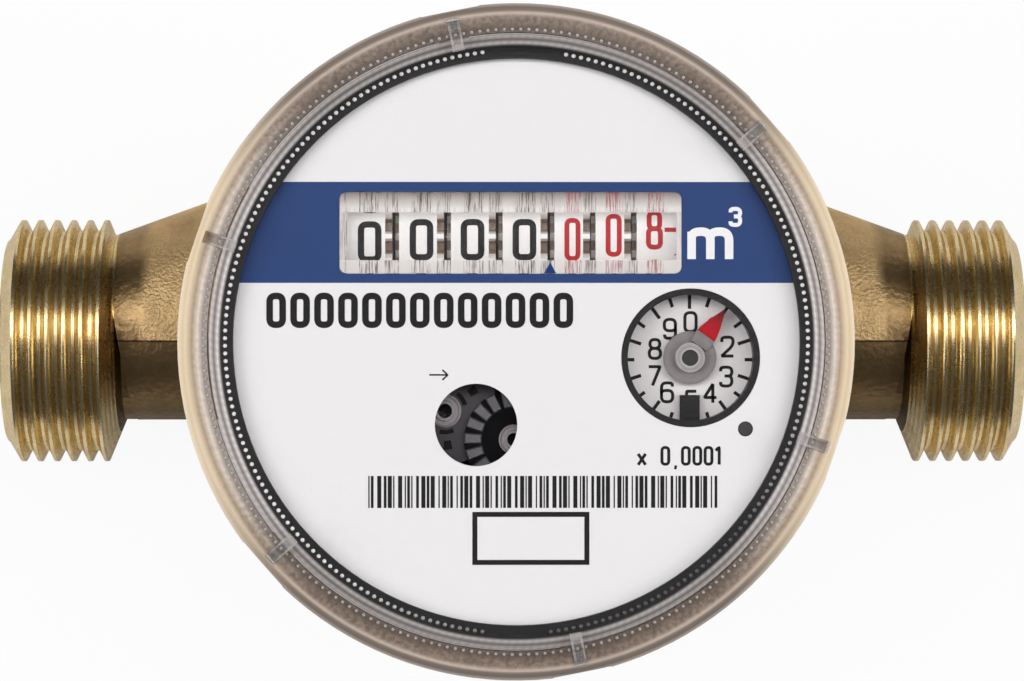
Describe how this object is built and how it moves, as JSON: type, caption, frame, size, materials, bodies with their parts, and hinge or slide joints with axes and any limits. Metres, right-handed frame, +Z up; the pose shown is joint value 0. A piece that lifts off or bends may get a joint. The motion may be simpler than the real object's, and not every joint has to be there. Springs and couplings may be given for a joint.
{
  "type": "water meter",
  "caption": "Single-jet water meter: cast brass body with threaded ends, vane impeller, geared dry register with roller counter and pointer under a clear dome that turns.",
  "frame": {"origin": "centre of the flat bottom, under the impeller's axis", "axes": "+X along the pipe from inlet to outlet, +Y to the top of the dial, +Z up"},
  "size_m": [0.11, 0.068, 0.0594],
  "materials": {
    "brass_cast": "cast and sand-blasted",
    "brass_turned": "turned",
    "white_plastic": "moulded",
    "grey_plastic": "moulded",
    "gear_plastic": "moulded",
    "black_plastic": "moulded",
    "steel": "ground",
    "magnet": "pressed ferrite",
    "seal_rubber": "moulded",
    "dial_print": "printed",
    "smoke_plastic": "moulded",
    "red_plastic": "moulded",
    "clear_plastic": "clear, moulded"
  },
  "bodies": {
    "meter_body": {"body": "brass_cast", "inlet_strainer": "white_plastic", "impeller_pin": "steel", "pressure_plate": "grey_plastic", "plate_seal": "seal_rubber", "clamp_ring": "brass_turned", "snap_ring": "clear_plastic"},
    "register": {"register_base": "black_plastic", "gear_posts": "steel", "gear_plate": "grey_plastic", "idler_pin": "steel", "counter_frame": "grey_plastic", "roller_shaft": "steel", "pinion_shaft": "steel", "dial_plate": "dial_print", "pointer_bezel": "black_plastic", "pointer_dial": "dial_print", "counter_lens": "clear_plastic", "dial_ring": "black_plastic", "register_dome": "clear_plastic"},
    "impeller": {"impeller": "white_plastic", "impeller_magnet": "magnet"},
    "spindle": {"spindle": "gear_plastic", "spindle_magnet": "magnet"},
    "wheel_a": {"wheel_a": "gear_plastic"},
    "wheel_b": {"wheel_b": "gear_plastic"},
    "wheel_c": {"wheel_c": "gear_plastic"},
    "pointer": {"pointer_shaft": "gear_plastic", "pointer_hub": "smoke_plastic", "pointer": "red_plastic"},
    "idler": {"idler": "gear_plastic"},
    "roller_1": {"roller_1": "white_plastic"},
    "roller_2": {"roller_2": "white_plastic"},
    "roller_3": {"roller_3": "white_plastic"},
    "roller_4": {"roller_4": "white_plastic"},
    "roller_5": {"roller_5": "white_plastic"},
    "roller_6": {"roller_6": "white_plastic"},
    "roller_7": {"roller_7": "white_plastic"},
    "pinion_1": {"pinion_1": "gear_plastic"},
    "pinion_2": {"pinion_2": "gear_plastic"},
    "pinion_3": {"pinion_3": "gear_plastic"},
    "pinion_4": {"pinion_4": "gear_plastic"},
    "pinion_5": {"pinion_5": "gear_plastic"},
    "pinion_6": {"pinion_6": "gear_plastic"}
  },
  "joints": [
    {"name": "register_turn", "type": "hinge", "parent": "meter_body", "child": "register", "pos_m": [0, 0, 0.0342], "axis": [0, 0, 1], "range_deg": [-177.5, 177.5]},
    {"name": "impeller_spin", "type": "hinge", "parent": "meter_body", "child": "impeller", "pos_m": [0, 0, 0.015], "axis": [0, 0, 1], "continuous": true},
    {"name": "spindle_spin", "type": "hinge", "parent": "register", "child": "spindle", "pos_m": [0, 0, 0.0342], "axis": [0, 0, 1], "continuous": true},
    {"name": "wheel_a_spin", "type": "hinge", "parent": "register", "child": "wheel_a", "pos_m": [-0.00719, -0.00695, 0.0382], "axis": [0, 0, 1], "continuous": true},
    {"name": "wheel_b_spin", "type": "hinge", "parent": "register", "child": "wheel_b", "pos_m": [-0.00026, -0.00982, 0.0422], "axis": [0, 0, 1], "continuous": true},
    {"name": "wheel_c_spin", "type": "hinge", "parent": "register", "child": "wheel_c", "pos_m": [0.0088, -0.00559, 0.0382], "axis": [0, 0, 1], "continuous": true},
    {"name": "pointer_spin", "type": "hinge", "parent": "register", "child": "pointer", "pos_m": [0.01742, -0.00159, 0.055], "axis": [0, 0, 1], "continuous": true},
    {"name": "idler_spin", "type": "hinge", "parent": "register", "child": "idler", "pos_m": [0.01742, 0.00286, 0.0454], "axis": [1, 0, 0], "continuous": true},
    {"name": "roller_7_spin", "type": "hinge", "parent": "register", "child": "roller_7", "pos_m": [0.01209, 0.01061, 0.0454], "axis": [1, 0, 0], "continuous": true},
    {"name": "roller_6_spin", "type": "hinge", "parent": "register", "child": "roller_6", "pos_m": [0.00796, 0.01061, 0.0454], "axis": [1, 0, 0], "continuous": true},
    {"name": "roller_5_spin", "type": "hinge", "parent": "register", "child": "roller_5", "pos_m": [0.00383, 0.01061, 0.0454], "axis": [1, 0, 0], "continuous": true},
    {"name": "roller_4_spin", "type": "hinge", "parent": "register", "child": "roller_4", "pos_m": [-0.00137, 0.01061, 0.0454], "axis": [1, 0, 0], "continuous": true},
    {"name": "roller_3_spin", "type": "hinge", "parent": "register", "child": "roller_3", "pos_m": [-0.00657, 0.01061, 0.0454], "axis": [1, 0, 0], "continuous": true},
    {"name": "roller_2_spin", "type": "hinge", "parent": "register", "child": "roller_2", "pos_m": [-0.01177, 0.01061, 0.0454], "axis": [1, 0, 0], "continuous": true},
    {"name": "roller_1_spin", "type": "hinge", "parent": "register", "child": "roller_1", "pos_m": [-0.01697, 0.01061, 0.0454], "axis": [1, 0, 0], "continuous": true},
    {"name": "pinion_6_spin", "type": "hinge", "parent": "register", "child": "pinion_6", "pos_m": [0.01176, 0.01895, 0.03956], "axis": [1, 0, 0], "continuous": true},
    {"name": "pinion_5_spin", "type": "hinge", "parent": "register", "child": "pinion_5", "pos_m": [0.00763, 0.01895, 0.03956], "axis": [1, 0, 0], "continuous": true},
    {"name": "pinion_4_spin", "type": "hinge", "parent": "register", "child": "pinion_4", "pos_m": [0.00243, 0.01895, 0.03956], "axis": [1, 0, 0], "continuous": true},
    {"name": "pinion_3_spin", "type": "hinge", "parent": "register", "child": "pinion_3", "pos_m": [-0.00277, 0.01895, 0.03956], "axis": [1, 0, 0], "continuous": true},
    {"name": "pinion_2_spin", "type": "hinge", "parent": "register", "child": "pinion_2", "pos_m": [-0.00797, 0.01895, 0.03956], "axis": [1, 0, 0], "continuous": true},
    {"name": "pinion_1_spin", "type": "hinge", "parent": "register", "child": "pinion_1", "pos_m": [-0.01317, 0.01895, 0.03956], "axis": [1, 0, 0], "continuous": true}
  ],
  "couplings": [
    {"joint": "spindle_spin", "follows": "impeller_spin", "ratio": 1},
    {"joint": "wheel_a_spin", "follows": "impeller_spin", "ratio": -0.33333},
    {"joint": "wheel_b_spin", "follows": "impeller_spin", "ratio": 0.22222},
    {"joint": "wheel_c_spin", "follows": "impeller_spin", "ratio": -0.074074},
    {"joint": "pointer_spin", "follows": "impeller_spin", "ratio": 0.026455},
    {"joint": "idler_spin", "follows": "impeller_spin", "ratio": -0.00481},
    {"joint": "roller_7_spin", "follows": "impeller_spin", "ratio": 0.0026455},
    {"joint": "roller_6_spin", "follows": "impeller_spin", "ratio": 0.00026455},
    {"joint": "roller_5_spin", "follows": "impeller_spin", "ratio": 0.000026455},
    {"joint": "roller_4_spin", "follows": "impeller_spin", "ratio": 0.0000026455},
    {"joint": "roller_3_spin", "follows": "impeller_spin", "ratio": 0.00000026455},
    {"joint": "roller_2_spin", "follows": "impeller_spin", "ratio": 0.000000026455},
    {"joint": "roller_1_spin", "follows": "impeller_spin", "ratio": 0.0000000026455},
    {"joint": "pinion_6_spin", "follows": "impeller_spin", "ratio": -0.00066138},
    {"joint": "pinion_5_spin", "follows": "impeller_spin", "ratio": -0.000066138},
    {"joint": "pinion_4_spin", "follows": "impeller_spin", "ratio": -0.0000066138},
    {"joint": "pinion_3_spin", "follows": "impeller_spin", "ratio": -0.00000066138},
    {"joint": "pinion_2_spin", "follows": "impeller_spin", "ratio": -0.000000066138},
    {"joint": "pinion_1_spin", "follows": "impeller_spin", "ratio": -0.0000000066138}
  ]
}
